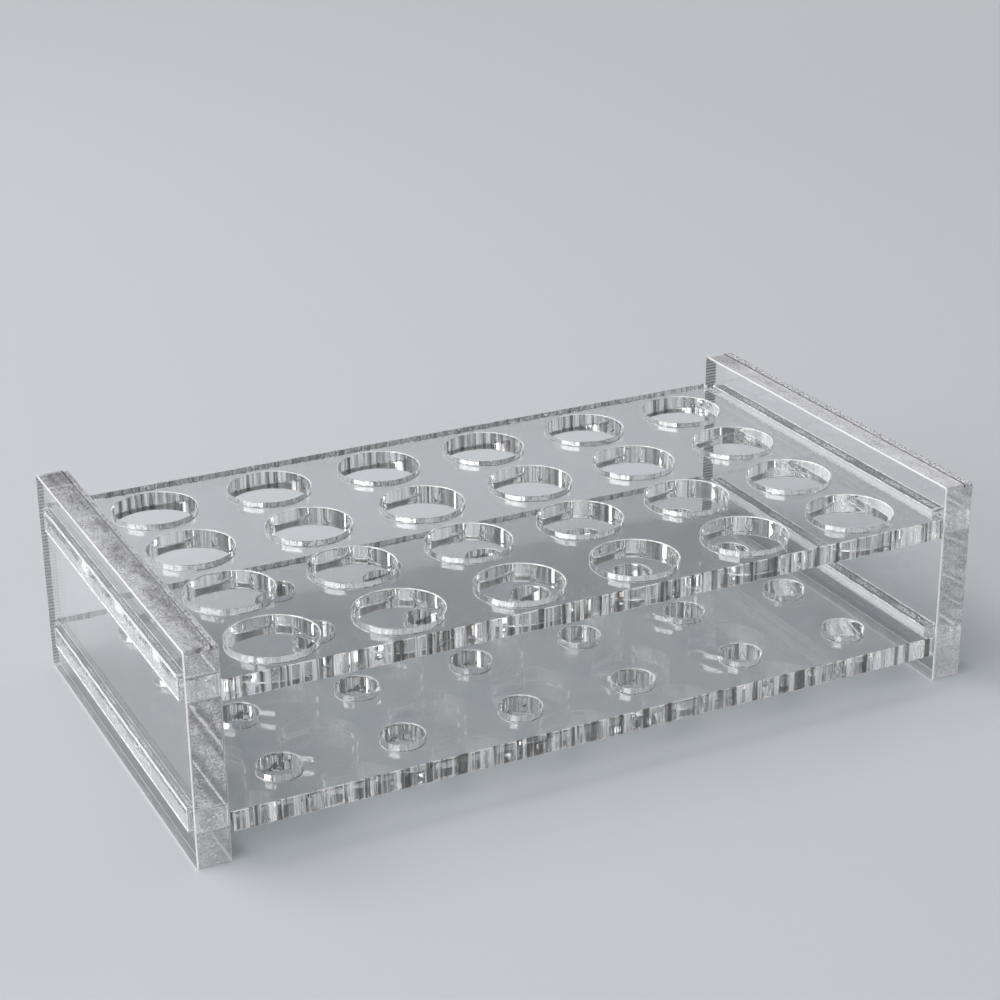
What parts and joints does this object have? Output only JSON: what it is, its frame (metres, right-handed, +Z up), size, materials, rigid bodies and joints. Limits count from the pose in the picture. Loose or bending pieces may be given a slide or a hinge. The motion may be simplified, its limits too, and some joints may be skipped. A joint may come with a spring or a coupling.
{
  "type": "microcentrifuge tube rack",
  "caption": "Clear acrylic bench rack: two end plates carry an upper shelf of wide tube holes and a lower shelf of small tip holes, joined by through tabs.",
  "frame": {"origin": "on the bench, under the middle of the rack", "axes": "+X along the rack to the right, +Y from front to back, +Z up"},
  "size_m": [0.12, 0.0666, 0.0312],
  "materials": {
    "end_acrylic": "clear cast acrylic, polished broad faces and sawn, half-frosted narrow faces",
    "shelf_acrylic": "clear cast acrylic, polished broad faces and laser-cut edges with fine upright streaks"
  },
  "bodies": {
    "root": {"left_end_plate": "end_acrylic", "right_end_plate": "end_acrylic", "upper_shelf": "shelf_acrylic", "lower_shelf": "shelf_acrylic"}
  },
  "joints": []
}
